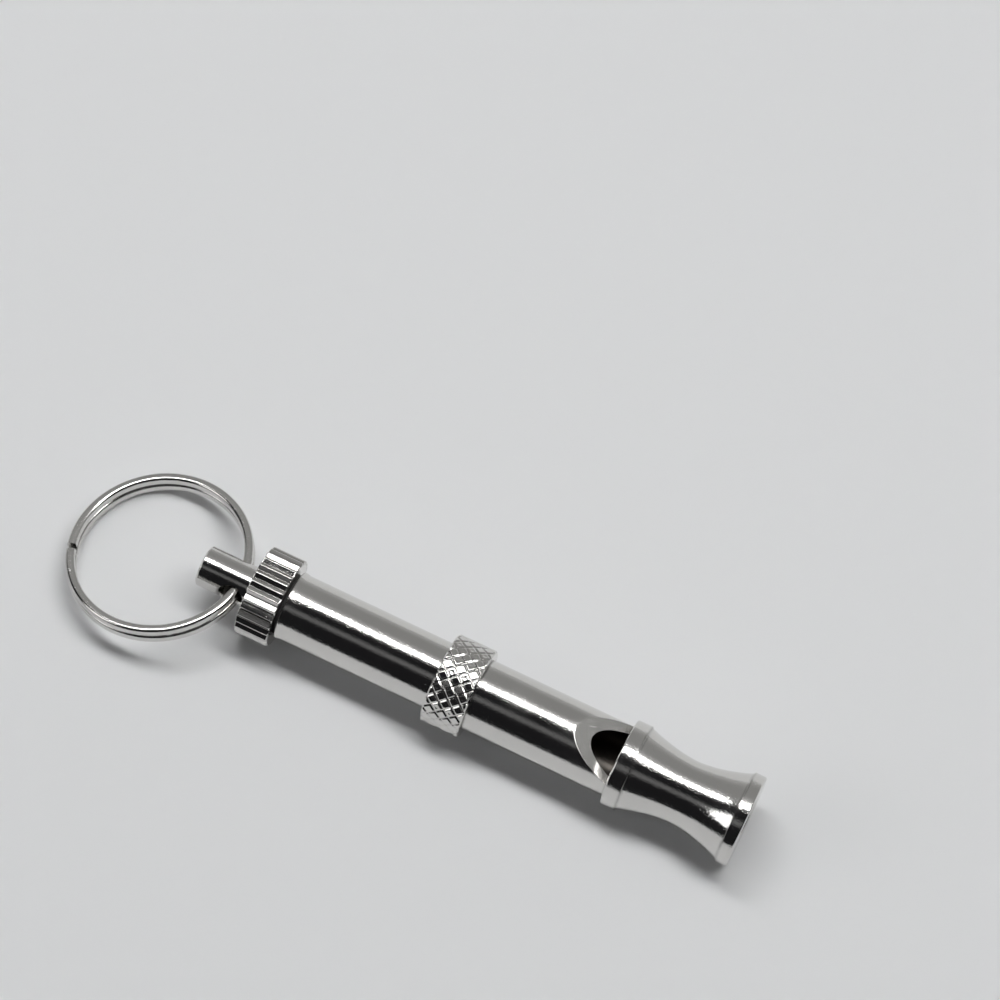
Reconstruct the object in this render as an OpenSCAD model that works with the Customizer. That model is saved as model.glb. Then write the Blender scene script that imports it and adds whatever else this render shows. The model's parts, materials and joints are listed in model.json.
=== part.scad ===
// Adjustable metal training whistle with a split ring.
// It lies along X with the centre of its mouth face at the origin, +X out of the mouth and +Z up.

/* [Mouthpiece] */
// Length of the mouthpiece
mouth_l = 18.6; // [17:0.2:21]
// Diameter of the rear rim
rear_rim_d = 12.2; // [11.8:0.1:13]
// Length of the rear rim's straight land
rear_land_l = 2.2; // [1.6:0.1:2.6]
// Diameter of the front rim
front_rim_d = 12.9; // [12.4:0.1:14]
// Length of the front rim's straight land
front_land_l = 1.7; // [1.2:0.1:2.2]
// Diameter of the waist
waist_d = 9; // [8.6:0.1:9.6]
// Distance from the mouth face to the narrowest place of the waist
waist_x = 9.1; // [8:0.1:10]
// Step from each rim down to the waist's curve
rim_step = 0.2; // [0.1:0.05:0.3]
// Diameter of the bore at the mouth
mouth_bore_d = 7; // [6:0.1:7.4]
// Depth of the socket that takes the front tube
socket_l = 3.2; // [2.4:0.1:3.6]

/* [Tubes] */
// Outside diameter of the front tube
front_tube_d = 10.1; // [9.8:0.1:10.6]
// Length of front tube between the mouthpiece and the collar
front_show_l = 20.7; // [18:0.1:26]
// Outside diameter of the rear tube
rear_tube_d = 9.5; // [9.2:0.1:10]
// Length of rear tube between the collar and the flange of the bush
rear_show_l = 21.4; // [19:0.1:28]
// Bore of both tubes
tube_bore_d = 8; // [7.8:0.1:8.2]

/* [Window] */
// Length of the window along the front tube
window_l = 6.75; // [5:0.05:7.5]
// Slope of the window's flat to the tube
window_angle = 22.8; // [18:0.2:25]
// Height of the air slit over the plug
windway_h = 1.1; // [0.8:0.05:1.4]

/* [Collar] */
// Width of the collar
collar_w = 5.6; // [5:0.1:7]
// Diameter over the diamonds
collar_d = 12.56; // [12.2:0.02:13.4]
// Diamonds around the collar
collar_count = 22; // [18:1:28]
// Depth of the grooves between the diamonds
collar_groove = 0.3; // [0.2:0.05:0.45]

/* [Lock nut] */
// Width of the nut
nut_w = 4.8; // [4:0.1:6]
// Diameter over the ribs
nut_d = 12.5; // [12:0.1:13.4]
// Ribs around the nut
nut_ribs = 30; // [24:1:36]
// Depth of the grooves between the ribs
nut_groove = 0.4; // [0.2:0.05:0.5]
// Distance the nut can back off before it meets the stem
nut_back_off = 0.75; // [0.65:0.05:1]
// Thickness of the washer in front of the nut
washer_t = 0.3; // [0.2:0.05:0.5]
// Diameter of the washer
washer_d = 8.6; // [7:0.1:9]

/* [Tuning screw] */
// Diameter of the plain stem
stem_d = 5.7; // [5.4:0.1:6]
// Length of the stem behind the nut
stem_show_l = 7.6; // [7.4:0.1:10]
// Diameter of the threaded rod
screw_d = 5; // [4.6:0.1:5.2]
// Length of the threaded rod in front of the nut, up to the piston
screw_front_l = 29.6; // [27:0.1:31]
// Diameter of the cross hole for the ring
hole_d = 3.6; // [3.4:0.1:3.8]
// Distance from the stem's rear end to the cross hole
hole_x = 5.2; // [4:0.1:5.4]
// Lean of the cross hole about the axis of the whistle
hole_roll = 6; // [0:1:12]

/* [End bush] */
// Diameter of the bush's flange
flange_d = 9.8; // [9.6:0.1:11]
// Thickness of the flange
flange_t = 0.9; // [0.6:0.1:1.4]
// Length of the bush inside the tube
bush_l = 5.3; // [4:0.1:8]

/* [Piston] */
// Length of the piston
piston_l = 6; // [5.6:0.1:7]
// Diameter of the screw's tip inside the piston
tip_d = 3; // [2.6:0.1:3.2]
// Diameter of the head that keeps the piston on the tip
tip_head_d = 4.4; // [4:0.1:4.8]
// Thickness of that head
tip_head_t = 0.9; // [0.6:0.1:1.2]
// Thickness of the seal ring
seal_t = 1; // [0.8:0.05:1.2]

/* [Split ring] */
// Outside diameter of the ring
ring_od = 25.6; // [24:0.2:30]
// Width of the flattened wire across the ring
wire_w = 1.25; // [1:0.05:1.3]
// Thickness of one turn
wire_t = 1.25; // [0.8:0.05:1.3]
// Gap between the two turns
turn_gap = 0.43; // [0.41:0.01:0.5]
// Sideways lean of the ring in its loose hole
ring_lean = 3; // [0:0.5:4]
// Distance that the wire lies in front of the middle of its hole
ring_seat = 0.5; // [0.3:0.05:0.6]

/* [Fits] */
// Running clearance on the radius of turning pieces
run_gap = 0.04; // [0.02:0.01:0.08]
// Clearance between flat faces of pieces that turn or slide on each other
face_gap = 0.05; // [0.03:0.01:0.1]
// Clearance between the piston and the tube's bore on the radius
piston_gap = 0.1; // [0.05:0.01:0.1]
// Edge chamfer of the turned pieces
edge = 0.25; // [0.1:0.05:0.3]

/* [Hidden] */
$fn = 96;

// Places along X, from the mouth face backwards
x_mouth_rear = -mouth_l;
x_socket = x_mouth_rear + socket_l;
x_collar_front = x_mouth_rear - front_show_l;
x_tubes_meet = x_collar_front - collar_w / 2;
x_collar_rear = x_collar_front - collar_w;
x_flange_front = x_collar_rear - rear_show_l;
x_flange_rear = x_flange_front - flange_t;
x_washer_front = x_flange_rear - face_gap;
x_washer_rear = x_washer_front - washer_t;
x_nut_front = x_washer_rear - face_gap;
x_nut_rear = x_nut_front - nut_w;
x_stem_end = x_nut_rear - stem_show_l;
x_hole = x_stem_end + hole_x;
x_screw_front = x_nut_front + screw_front_l;
x_piston_rear = x_screw_front + face_gap;
x_piston_front = x_piston_rear + piston_l;
x_seal = (x_piston_rear + x_piston_front) / 2;

// Radii
bore_r = tube_bore_d / 2;
front_tube_r = front_tube_d / 2;
rear_tube_r = rear_tube_d / 2;
mouth_bore_r = mouth_bore_d / 2;
stem_r = stem_d / 2;
screw_r = screw_d / 2;
thread_r = screw_r + run_gap;
piston_r = bore_r - piston_gap;
seal_r = bore_r - run_gap;
groove_r = seal_r - seal_t - run_gap;

// Waist of the mouthpiece: the curve rises from the narrowest place to each rim by this power
waist_power = 1.68;
waist_steps = 10;
waist_r = waist_d / 2;
x_rear_land = x_mouth_rear + rear_land_l;
x_front_land = -front_land_l;
rear_shoulder_r = rear_rim_d / 2 - rim_step;
front_shoulder_r = front_rim_d / 2 - rim_step;
function waist_side(x_end, r_end) =
    [for (i = [0 : waist_steps])
        let (u = i / waist_steps)
        [waist_r + (r_end - waist_r) * pow(u, waist_power), -waist_x + (x_end + waist_x) * u]];
function backwards(points) = [for (i = [len(points) - 1 : -1 : 0]) points[i]];

// Lead-in of the plug, where the air rises from the mouth's bore into the slit
plug_lead_l = 1.6;
plug_lead_h = 1;
plug_top = bore_r - windway_h;

// Nut: counterbore that passes over the stem, and the shoulder where the stem ends inside it
nut_counterbore_l = 1.4;
x_nut_step = x_nut_rear + nut_counterbore_l;
x_shoulder = x_nut_step - nut_back_off;
stem_clear = 0.15;
nut_edge = 0.12;
// Share of a rib's pitch that is its flat top, and share that is the groove's floor
rib_top = 0.28;
rib_floor = 0.08;

// Collar: axial half steps of the diamond lattice, the share of a diamond that is its flat top, and the
// share of its diameter that is its bore, which takes the turned down ends of both tubes
collar_half_steps = 6;
diamond_top = 0.78;
collar_bore_share = 0.74;
spigot_r = collar_d * collar_bore_share / 2;

// Split ring: one coil whose second turn climbs over the first opposite the cross hole
ring_mid_r = (ring_od - wire_w) / 2;
ring_reach = ring_mid_r - ring_seat;
turn_pitch = wire_t + turn_gap;
ring_step = 15;
ring_last = 45;
climb_from = 330;
climb_to = 360;
ring_turn = -165;
table_gap = 0.1;
table_h = front_rim_d / 2 - table_gap;

// Turns children, drawn as [radius, place along X], about the axis of the whistle
module turned() {
    rotate([0, 90, 0]) rotate_extrude() children();
}

module mouthpiece() {
    socket_r = front_tube_r;
    rear_r = rear_rim_d / 2;
    front_r = front_rim_d / 2;
    outside = concat(
        [[socket_r, x_mouth_rear], [rear_r - edge, x_mouth_rear], [rear_r, x_mouth_rear + edge],
         [rear_r, x_rear_land]],
        backwards(waist_side(x_rear_land, rear_shoulder_r)),
        [for (i = [1 : waist_steps]) waist_side(x_front_land, front_shoulder_r)[i]],
        [[front_r, x_front_land], [front_r, -edge], [front_r - edge, 0]]);
    inside = [[mouth_bore_r, 0], [mouth_bore_r, x_socket], [socket_r, x_socket]];
    color("silver") turned() polygon(concat(outside, inside));
}

// Block in the tube's front end; the flat on its top leaves the air slit
module fipple_plug() {
    side = [[x_mouth_rear, -bore_r], [x_mouth_rear, plug_top], [x_socket - plug_lead_l, plug_top],
            [x_socket, plug_top - plug_lead_h], [x_socket, -bore_r]];
    color("goldenrod") intersection() {
        turned() polygon([[0, x_mouth_rear], [bore_r, x_mouth_rear], [bore_r, x_socket], [0, x_socket]]);
        rotate([90, 0, 0]) linear_extrude(tube_bore_d, center = true) polygon(side);
    }
}

// Tube from its free end to the middle of the collar, with a spigot inside the collar
module tube(radius, x_free, x_shoulder) {
    turned() polygon([[bore_r, x_free], [radius, x_free], [radius, x_shoulder], [spigot_r, x_shoulder],
                      [spigot_r, x_tubes_meet], [bore_r, x_tubes_meet]]);
}

module front_tube() {
    x_apex = x_mouth_rear - window_l;
    above = front_tube_d;
    cut = [[x_apex, front_tube_r], [x_mouth_rear, front_tube_r - window_l * tan(window_angle)],
           [x_mouth_rear, above], [x_apex, above]];
    color("gainsboro") difference() {
        tube(front_tube_r, x_socket, x_collar_front);
        rotate([90, 0, 0]) linear_extrude(2 * above, center = true) polygon(cut);
    }
}

module rear_tube() {
    color("silver") tube(rear_tube_r, x_flange_front, x_collar_rear);
}

// Knurled band with flat ends, closed: raised diamonds with flat tops between crossed grooves.
// Lattice points whose steps add up to an odd number are the crossings of the grooves.
module diamond_band(radius, root, width, count, half_steps, top) {
    around = 2 * count;
    turn = 360 / around;
    step = width / half_steps;
    function at(r, p, q) = [r * cos(p * turn), r * sin(p * turn), q * step];
    crossings = [for (q = [0 : half_steps]) for (k = [0 : count - 1]) at(root, 2 * k + (q + 1) % 2, q)];
    function crossing(p, q) = q * count + floor(((p + around) % around) / 2);
    tops = [for (q = [1 : half_steps - 1]) for (k = [0 : count - 1])
        let (p = 2 * k + q % 2)
        for (side = [[-top, 0], [0, -top], [top, 0], [0, top]]) at(radius, p + side[0], q + side[1])];
    function top_at(k, q, i) = len(crossings) + ((q - 1) * count + k) * 4 + i;
    diamonds = [for (q = [1 : half_steps - 1]) for (k = [0 : count - 1])
        let (p = 2 * k + q % 2,
             low = [crossing(p - 1, q), crossing(p, q - 1), crossing(p + 1, q), crossing(p, q + 1)],
             high = [for (i = [0 : 3]) top_at(k, q, i)])
        each concat(
            [[high[1], high[0], high[3]], [high[3], high[2], high[1]]],
            [for (i = [0 : 3])
                let (j = (i + 1) % 4)
                each [[low[i], high[i], high[j]], [low[i], high[j], low[j]]]])];
    low_edge = [for (k = [0 : count - 1])
        let (p = 2 * k) [crossing(p - 1, 0), crossing(p, 1), crossing(p + 1, 0)]];
    high_edge = [for (k = [0 : count - 1])
        let (p = 2 * k + half_steps % 2)
        [crossing(p + 1, half_steps), crossing(p, half_steps - 1), crossing(p - 1, half_steps)]];
    ends = [[for (k = [0 : count - 1]) crossing(2 * k + 1, 0)],
            [for (k = [count - 1 : -1 : 0]) crossing(2 * k + (half_steps + 1) % 2, half_steps)]];
    polyhedron(concat(crossings, tops), concat(diamonds, low_edge, high_edge, ends));
}

module knurled_collar() {
    collar_r = collar_d / 2;
    color("gainsboro") difference() {
        translate([x_collar_rear, 0, 0]) rotate([0, 90, 0])
            diamond_band(collar_r, collar_r - collar_groove, collar_w, collar_count,
                         collar_half_steps, diamond_top);
        turned() polygon([[0, x_collar_rear - edge], [spigot_r, x_collar_rear - edge],
                          [spigot_r, x_collar_front + edge], [0, x_collar_front + edge]]);
    }
}

module end_bush() {
    flange_r = flange_d / 2;
    color("silver") turned()
        polygon([[thread_r, x_flange_rear], [flange_r - edge, x_flange_rear],
                 [flange_r, x_flange_rear + edge], [flange_r, x_flange_front], [bore_r, x_flange_front],
                 [bore_r, x_flange_front + bush_l], [thread_r, x_flange_front + bush_l]]);
}

module lock_washer() {
    color("dimgray") turned()
        polygon([[thread_r, x_washer_rear], [washer_d / 2, x_washer_rear], [washer_d / 2, x_washer_front],
                 [thread_r, x_washer_front]]);
}

// Outline of a straight knurl: flat ribs between sharp grooves
module ribbed_outline(radius, depth, count, top, floor_share) {
    pitch = 360 / count;
    function at(r, angle) = [r * cos(angle), r * sin(angle)];
    polygon([for (i = [0 : count - 1])
        let (middle = i * pitch)
        each [at(radius, middle - pitch * top / 2), at(radius, middle + pitch * top / 2),
              at(radius - depth, middle + pitch * (1 - floor_share) / 2),
              at(radius - depth, middle + pitch * (1 + floor_share) / 2)]]);
}

module lock_nut() {
    nut_r = nut_d / 2;
    counter_r = stem_r + stem_clear;
    color("silver") difference() {
        intersection() {
            translate([x_nut_rear, 0, 0]) rotate([0, 90, 0]) linear_extrude(nut_w)
                ribbed_outline(nut_r, nut_groove, nut_ribs, rib_top, rib_floor);
            turned() polygon([[0, x_nut_rear], [nut_r - nut_edge, x_nut_rear],
                              [nut_r, x_nut_rear + nut_edge], [nut_r, x_nut_front - nut_edge],
                              [nut_r - nut_edge, x_nut_front], [0, x_nut_front]]);
        }
        turned() polygon([[0, x_nut_rear - edge], [counter_r, x_nut_rear - edge], [counter_r, x_nut_step],
                          [thread_r, x_nut_step], [thread_r, x_nut_front + edge], [0, x_nut_front + edge]]);
    }
}

// Stem with its cross hole, threaded rod, and the tip that carries the piston
module tuning_screw() {
    x_head_rear = x_piston_front - 2 * tip_head_t + face_gap;
    x_head_front = x_head_rear + tip_head_t;
    tip_r = tip_d / 2;
    head_r = tip_head_d / 2;
    hole_r = hole_d / 2;
    color("gainsboro") difference() {
        turned() polygon([[0, x_stem_end], [stem_r - edge, x_stem_end], [stem_r, x_stem_end + edge],
                          [stem_r, x_shoulder], [screw_r, x_shoulder], [screw_r, x_screw_front],
                          [tip_r, x_screw_front], [tip_r, x_head_rear], [head_r, x_head_rear],
                          [head_r, x_head_front], [0, x_head_front]]);
        translate([x_hole, 0, 0]) rotate([-hole_roll, 0, 0]) rotate([90, 0, 0]) {
            cylinder(r = hole_r, h = 2 * stem_d, center = true);
            for (side = [0, 1]) mirror([0, 0, side])
                translate([0, 0, stem_r - edge])
                    cylinder(r1 = hole_r, r2 = hole_r + 2 * edge, h = 2 * edge);
        }
    }
}

module piston() {
    tip_bore_r = tip_d / 2 + run_gap;
    head_bore_r = tip_head_d / 2 + run_gap;
    x_seat = x_piston_front - 2 * tip_head_t;
    half_groove = seal_t / 2 + face_gap;
    color("goldenrod") turned()
        polygon([[tip_bore_r, x_piston_rear], [piston_r, x_piston_rear], [piston_r, x_seal - half_groove],
                 [groove_r, x_seal - half_groove], [groove_r, x_seal + half_groove],
                 [piston_r, x_seal + half_groove], [piston_r, x_piston_front],
                 [head_bore_r, x_piston_front], [head_bore_r, x_seat], [tip_bore_r, x_seat]]);
}

module piston_seal() {
    color("dimgray") turned() translate([seal_r - seal_t / 2, x_seal]) circle(d = seal_t, $fn = 32);
}

// Height of the coil's middle at an angle along it, with a smooth climb between the turns
function climb(angle) =
    let (u = max(0, min(1, (angle - climb_from) / (climb_to - climb_from))))
    turn_pitch * (u * u * (3 - 2 * u) - 0.5);
// Six sided section of the flattened wire: [outwards, upwards]
wire_section = [[wire_w / 2, 0], [wire_w / 4, wire_t / 2], [-wire_w / 4, wire_t / 2],
                [-wire_w / 2, 0], [-wire_w / 4, -wire_t / 2], [wire_w / 4, -wire_t / 2]];
function ring_loop(i) =
    let (angle = i * ring_step, place = angle + ring_turn)
    [for (s = wire_section)
        [(ring_mid_r + s[0]) * cos(place), (ring_mid_r + s[0]) * sin(place), climb(angle) + s[1]]];
ring_loops = [for (i = [0 : ring_last]) ring_loop(i)];
turn_steps = 360 / ring_step;
least_gap = min([for (i = [0 : ring_last - turn_steps / 2]) for (j = [i + turn_steps / 2 : ring_last])
    for (a = ring_loops[i]) for (b = ring_loops[j]) norm(a - b)]);
echo(least_gap_between_turns = least_gap);

// Lowest place of the ring below the cross hole for a given droop, and the droop that reaches the table
function ring_depth(droop) =
    let (up = cos(hole_roll) * cos(droop))
    ring_reach * (cos(ring_lean) * sin(droop) * cos(hole_roll) - sin(ring_lean) * sin(hole_roll))
    + ring_od / 2 * sqrt(1 - up * up) + (turn_pitch + wire_t) / 2 * up;
function droop_to(depth, low, high, tries) =
    let (middle = (low + high) / 2)
    tries == 0 ? middle
    : ring_depth(middle) > depth ? droop_to(depth, low, middle, tries - 1)
    : droop_to(depth, middle, high, tries - 1);
ring_droop = droop_to(table_h, 0, 60, 30);
echo(ring_droop = ring_droop);

module split_ring() {
    sides = len(wire_section);
    points = [for (loop = ring_loops) each loop];
    function corner(i, s) = i * sides + s % sides;
    skin = [for (i = [0 : ring_last - 1]) for (s = [0 : sides - 1])
        each [[corner(i, s), corner(i, s + 1), corner(i + 1, s + 1)],
              [corner(i, s), corner(i + 1, s + 1), corner(i + 1, s)]]];
    caps = [[for (s = [sides - 1 : -1 : 0]) corner(0, s)],
            [for (s = [0 : sides - 1]) corner(ring_last, s)]];
    color("lightsteelblue") translate([x_hole, 0, 0]) rotate([-hole_roll, 0, 0]) rotate([0, -ring_droop, 0])
        rotate([0, 0, ring_lean]) translate([-ring_reach, 0, 0]) polyhedron(points, concat(skin, caps));
}

mouthpiece();
fipple_plug();
front_tube();
knurled_collar();
rear_tube();
end_bush();
lock_washer();
lock_nut();
tuning_screw();
piston();
piston_seal();
split_ring();
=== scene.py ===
# %% [markdown]
# Training whistle with a split ring
#
# The real object is an 80 mm whistle of brass with a polished nickel plate, and a split ring in its tail.
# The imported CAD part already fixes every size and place. This lesson makes a finer skin for each of its
# twelve solids, gives every skin a finish, and lights the whistle on a pale floor. Sizes are written in
# millimetres, apart from the stage, which is in metres.

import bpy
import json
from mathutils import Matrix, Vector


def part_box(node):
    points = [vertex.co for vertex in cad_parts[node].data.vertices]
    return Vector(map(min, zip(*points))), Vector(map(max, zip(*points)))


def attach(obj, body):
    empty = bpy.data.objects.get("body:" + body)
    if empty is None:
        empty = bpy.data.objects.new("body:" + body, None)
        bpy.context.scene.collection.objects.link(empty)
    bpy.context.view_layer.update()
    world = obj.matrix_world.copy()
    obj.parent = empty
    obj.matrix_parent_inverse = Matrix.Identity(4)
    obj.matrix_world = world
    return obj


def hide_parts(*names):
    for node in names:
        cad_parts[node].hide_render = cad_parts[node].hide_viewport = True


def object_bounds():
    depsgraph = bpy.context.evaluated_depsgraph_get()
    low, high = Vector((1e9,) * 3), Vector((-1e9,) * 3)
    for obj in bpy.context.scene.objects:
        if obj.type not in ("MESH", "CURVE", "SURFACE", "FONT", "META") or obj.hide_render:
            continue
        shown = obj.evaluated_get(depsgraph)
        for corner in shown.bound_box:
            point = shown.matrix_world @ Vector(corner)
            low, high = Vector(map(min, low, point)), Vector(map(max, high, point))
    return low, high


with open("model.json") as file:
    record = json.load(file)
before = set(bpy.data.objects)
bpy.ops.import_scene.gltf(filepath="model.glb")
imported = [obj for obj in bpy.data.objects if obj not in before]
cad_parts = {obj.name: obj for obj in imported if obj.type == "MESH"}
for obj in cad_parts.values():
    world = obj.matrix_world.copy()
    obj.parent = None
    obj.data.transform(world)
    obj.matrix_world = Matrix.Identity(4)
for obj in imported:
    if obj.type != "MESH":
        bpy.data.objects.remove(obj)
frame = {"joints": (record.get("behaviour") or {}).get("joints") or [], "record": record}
cad_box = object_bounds()
print("CAD box in metres:", [[round(part, 4) for part in corner] for corner in cad_box])

# %% Libraries, units and the record
import json
import math

import bmesh
import bpy
from mathutils import Matrix, Vector

MM = 0.001
RECORD = frame["record"]
BODY_OF = {node: body for body, nodes in RECORD["behaviour"]["bodies"].items() for node in nodes}
TONE_OF = {entry["slot"]: (*entry["base_color"], 1) for entry in RECORD["materials"]}
JOINT = {joint["name"]: joint for joint in frame["joints"]}


def span(node):
    """Rear end, front end and largest radius of a turned CAD node, in millimetres."""
    low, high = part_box(node)
    return low.x / MM, high.x / MM, (high.y - low.y) / 2 / MM


print("bodies:", sorted(set(BODY_OF.values())))
print("whistle from", round(span("tuning_screw")[0], 2), "to", round(span("mouthpiece")[1], 2), "mm along X")

# %% [markdown]
# Shader sums in plain Python
#
# A finish is a small sum: a tone, less the dirt, plus some noise. Wiring that by hand hides the sum, and a
# group hides it too. Here one class holds a socket, so that the sum is written as Python and each operator
# adds its Math node. Every other kind of node comes from its one method.

# %% A socket that can be added and multiplied


class Field:
    """A socket of a shader tree: operators add Math nodes, and node() adds any other node."""

    def __init__(self, tree, socket=None):
        self.tree = tree
        self.socket = socket

    def node(self, kind, settings=None, sockets=None, output=0):
        """Adds a node: first its settings, then the values or links of its sockets."""
        made = self.tree.nodes.new("ShaderNode" + kind)
        for name, value in (settings or {}).items():
            setattr(made, name, value)
        for key, value in (sockets or {}).items():
            if isinstance(value, Field):
                self.tree.links.new(value.socket, made.inputs[key])
            else:
                made.inputs[key].default_value = value
        return Field(self.tree, made.outputs[output])

    def other(self, output):
        """Another output of the same node."""
        return Field(self.tree, self.socket.node.outputs[output])

    def maths(self, operation, *values):
        """A Math node on values and fields."""
        return self.node("Math", {"operation": operation}, dict(enumerate(values)))

    def __add__(self, value):
        return self.maths("ADD", self, value)

    def __sub__(self, value):
        return self.maths("SUBTRACT", self, value)

    def __rsub__(self, value):
        return self.maths("SUBTRACT", value, self)

    def __mul__(self, value):
        return self.maths("MULTIPLY", self, value)

    def __truediv__(self, value):
        return self.maths("DIVIDE", self, value)

    def __rtruediv__(self, value):
        return self.maths("DIVIDE", value, self)

    def __abs__(self):
        return self.maths("ABSOLUTE", self)

    __radd__ = __add__
    __rmul__ = __mul__

    def held(self):
        """The value kept between 0 and 1."""
        return self.node("Clamp", None, {0: self})

    def noise(self, waves, detail=2.0, stretch=(1, 1, 1)):
        """Noise over a vector socket, with so many waves a millimetre."""
        spread = self.node("VectorMath", {"operation": "MULTIPLY"}, {0: self, 1: stretch})
        return self.node("TexNoise", None, {"Vector": spread, "Scale": waves, "Detail": detail})

    def patches(self, waves, detail, level, gain, stretch=(1, 1, 1)):
        """Noise as patches: 0 up to a level, and from there up to 1 by the gain."""
        return ((self.noise(waves, detail, stretch) - level) * gain).held()

    def tint(self, first, second):
        """A colour between two colours, by this value."""
        return self.node("Mix", {"data_type": "RGBA"}, {0: self, 6: first, 7: second}, 2)


print("a socket can be added, multiplied and mixed")

# %% Starting and feeding a finish


def new_finish(name):
    """Empty material, the place on the piece in millimetres, and the shader that takes the finish."""
    material = bpy.data.materials.new(name)
    material.use_nodes = True
    tree = material.node_tree
    coordinates = Field(tree).node("TexCoord", output="Object")
    place = coordinates.node("VectorMath", {"operation": "SCALE"}, {0: coordinates, "Scale": 1 / MM})
    return material, place, tree.nodes["Principled BSDF"]


def link(value, shader, socket):
    """Feeds a socket of a shader with a field."""
    value.tree.links.new(value.socket, shader.inputs[socket])


def emboss(relief, shader):
    """Bends the light by a relief in millimetres."""
    link(relief.node("Bump", None, {"Height": relief, "Distance": MM, "Strength": 1.0}), shader, "Normal")


def radius_of(place):
    """Distance of a place from the axis of the whistle."""
    sides = place.node("VectorMath", {"operation": "MULTIPLY"}, {0: place, 1: (0, 1, 1)})
    return sides.node("VectorMath", {"operation": "LENGTH"}, {0: sides}, "Value")


print("shader fields ready for", len(TONE_OF), "material slots")

# %% [markdown]
# Polished nickel plate
#
# The real plate is a neutral, slightly warm mirror. What makes it read as metal in use is what spoils the
# mirror: a faint orange peel and tiny pits that break the edges of each highlight, lines left by the lathe
# or the drawing die, hairline scratches, hazy finger marks and dirt that stays in corners. The colour is
# also darkened in corners, seams, grooves and bores as painted shade. A photograph of a plate could be
# wrapped round each piece, but it would blur close up and need seams. Noise in the piece's own millimetres
# has neither fault, so each of these is one line of the sum below.

# %% Plate finish
PEEL_SIZE = 0.3
PEEL_HEIGHT = 0.012
PIT_SIZE = 0.2
PIT_DEPTH = 0.0042
LINE_SIZE = 0.22
LINE_HEIGHT = 0.0007
LINE_DULL = 0.05
LATHE_LINES = (1, 0.02, 0.02)
DRAWN_LINES = (0.04, 1, 1)
LINES_EVERY_WAY = (1, 1, 1)
HAIR_WAVES = 0.35
HAIR_DEPTH = 0.002
HAIR_DARK = 0.06
HAIR_DULL = 0.12
HAIRS_ALONG = (0.25, 1.6, 1.6)
HAIRS_ACROSS = (1.7, 0.35, 0.5)
ACROSS_SHARE = 0.6
HAZE_DULL = 0.07
CLOUD_DARK = 0.07
# How dark dirt and the painted shade in corners, seams, grooves and bores make the plate.
DIRT_AND_SHADE_DARK = 0.95
DIRT_DULL = 0.25
# Tone of dirt and of the painted shade in corners, seams, grooves and bores.
GRIME_AND_SHADE_TONE = (0.05, 0.045, 0.04, 1)


def hairlines(place, run, thinness):
    """Scratches: the narrow places where a stretched noise crosses its middle, broken up by a second one."""
    crossing = abs(place.noise(HAIR_WAVES, detail=1.0, stretch=run) - 0.5) * thinness
    broken = place.patches(waves=0.5, detail=1.0, level=0.56, gain=14, stretch=(1.3, 0.9, 1.1))
    return (1 - crossing).held() * broken


def plated(name, slot, lines_run, corner, gloss=0.085, calm=None):
    """Nickel plate. Dirt and painted shade come from corner(place), from 0 to 1; lines_run is the run of the
    finest lines.

    Where a face was cut flat, calm(place) gives the share of the relief that went with the cut.
    """
    material, place, shader = new_finish(name)
    haze = place.patches(waves=0.11, detail=4.0, level=0.47, gain=5)
    peel = place.noise(1 / PEEL_SIZE)
    pits = place.patches(waves=1 / PIT_SIZE, detail=1.0, level=0.58, gain=6)
    lines = place.noise(1 / LINE_SIZE, detail=3.0, stretch=lines_run)
    hairs = hairlines(place, HAIRS_ALONG, thinness=130)
    hairs = hairs + hairlines(place, HAIRS_ACROSS, thinness=150) * ACROSS_SHARE
    # corner() gives dirt and painted shade, which darken the colour below.
    dirt_and_shade = corner(place).held()
    cloud = place.noise(waves=0.3, detail=3.0)
    grime_and_shade = (dirt_and_shade * DIRT_AND_SHADE_DARK + cloud * CLOUD_DARK + hairs * HAIR_DARK).held()
    link(grime_and_shade.tint(TONE_OF[slot], GRIME_AND_SHADE_TONE), shader, "Base Color")
    dull = haze * HAZE_DULL + hairs * HAIR_DULL + dirt_and_shade * DIRT_DULL + (lines - 0.5) * LINE_DULL
    link(gloss + dull, shader, "Roughness")
    relief = peel * PEEL_HEIGHT + lines * LINE_HEIGHT - hairs * HAIR_DEPTH - pits * PIT_DEPTH
    if calm:
        relief = relief * (1 - calm(place))
    emboss(relief, shader)
    shader.inputs["Metallic"].default_value = 1
    print(name, "made with", len(material.node_tree.nodes), "nodes")
    return material


print("plate has peel of", PEEL_SIZE, "mm and pits of", PIT_SIZE, "mm")

# %% Where dirt and painted shade go
SEAM_REACH = 0.3125
# Strength of the dirt and painted shade beside a seam.
SEAM_DIRT_AND_SHADE = 0.7
GROOVE_FADE = 0.083
# Painted shade on the wall of a bore: how far out from it it reaches, and how fast it fades.
BORE_SHADE_REACH = 0.06
BORE_SHADE_FADE = 0.04


def beside(*seams):
    """Dirt and painted shade that fade out within a third of a millimetre of each seam along X."""

    def corner(place):
        along = place.node("SeparateXYZ", None, {0: place})
        grime_and_shade = 0.0
        for x in seams:
            grime_and_shade = (1 - abs(along - x) / SEAM_REACH).held() + grime_and_shade
        return grime_and_shade * (place.noise(waves=0.9) * SEAM_DIRT_AND_SHADE)

    return corner


def below(radius, depth, most):
    """Dirt and painted shade in grooves that are cut to a depth below a radius: most on their floor, and
    none further in.
    """

    def corner(place):
        from_axis = radius_of(place)
        fill = ((radius - from_axis) / depth).held()
        in_groove = (1 - (radius - depth - from_axis) / GROOVE_FADE).held()
        return fill * fill * in_groove * (place.noise(waves=1.1) * most)

    return corner


def with_painted_bore_shade(bore_r, outer):
    """Dirt and painted shade from another function, and painted shade as a dark coat on the wall of a bore.
    """

    def corner(place):
        return outer(place) + ((bore_r + BORE_SHADE_REACH - radius_of(place)) / BORE_SHADE_FADE).held()

    return corner


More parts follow.
